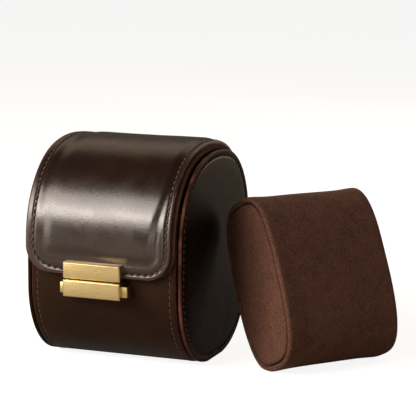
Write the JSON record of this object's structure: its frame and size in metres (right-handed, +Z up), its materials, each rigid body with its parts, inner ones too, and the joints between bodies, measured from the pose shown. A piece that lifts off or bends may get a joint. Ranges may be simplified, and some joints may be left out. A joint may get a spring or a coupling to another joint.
{
  "type": "watch travel case",
  "caption": "Drum-shaped leather travel case with a wrap-over hinged lid, a push-button clasp and a loose suede cushion that stands beside it.",
  "frame": {"origin": "middle of the drum's flat base, on the surface that it stands on", "axes": "+X along the drum, towards the cushion; -Y is the front with the clasp; +Z up"},
  "size_m": [0.1621, 0.1091, 0.1041],
  "materials": {
    "case_leather": "glossy, polished",
    "panel_leather": "satin",
    "lid_leather": "glossy, padded",
    "board": "plain",
    "suede_lining": "suede",
    "suede_cushion": "suede",
    "foam": "open-cell foam",
    "brass": "brushed satin",
    "steel": "plain"
  },
  "bodies": {
    "case": {"tub_leather": "case_leather", "tub_board": "board", "tub_lining": "suede_lining", "rim_binding": "case_leather", "end_panel_left": "panel_leather", "end_panel_right": "panel_leather", "end_board_left": "board", "end_board_right": "board", "end_lining_left": "suede_lining", "end_lining_right": "suede_lining", "strap_leather": "lid_leather", "strap_board": "board", "catch_housing": "brass", "catch_washer_plate": "steel", "catch_screws": "steel", "catch_spring": "steel"},
    "lid": {"lid_leather": "lid_leather", "lid_padding": "foam", "lid_board": "board", "lid_lining": "suede_lining", "clasp_block": "brass", "striker": "steel", "clasp_washer_plate": "steel", "clasp_screws": "steel"},
    "button_left": {"button_left": "brass"},
    "button_right": {"button_right": "brass"},
    "cushion": {"cushion_core": "foam", "cushion_cover": "suede_cushion", "cushion_face_left": "suede_cushion", "cushion_face_right": "suede_cushion", "cushion_welt_left": "suede_cushion", "cushion_welt_right": "suede_cushion"}
  },
  "joints": [
    {"name": "lid_hinge", "type": "hinge", "parent": "case", "child": "lid", "pos_m": [0, 0.04665, 0.0784], "axis": [-1, 0, 0], "range_deg": [0, 120]},
    {"name": "button_left_press", "type": "slide", "parent": "case", "child": "button_left", "axis": [1, 0, 0], "range_m": [0, 0.0016], "stiffness_N_per_m": 300, "springref_m": -0.002, "deforming": ["catch_spring"]},
    {"name": "button_right_press", "type": "slide", "parent": "case", "child": "button_right", "axis": [-1, 0, 0], "range_m": [0, 0.0016], "stiffness_N_per_m": 300, "springref_m": -0.002, "deforming": ["catch_spring"]},
    {"name": "cushion_lift", "type": "slide", "parent": "case", "child": "cushion", "axis": [0, 0, 1], "range_m": [0, 0.11]}
  ]
}
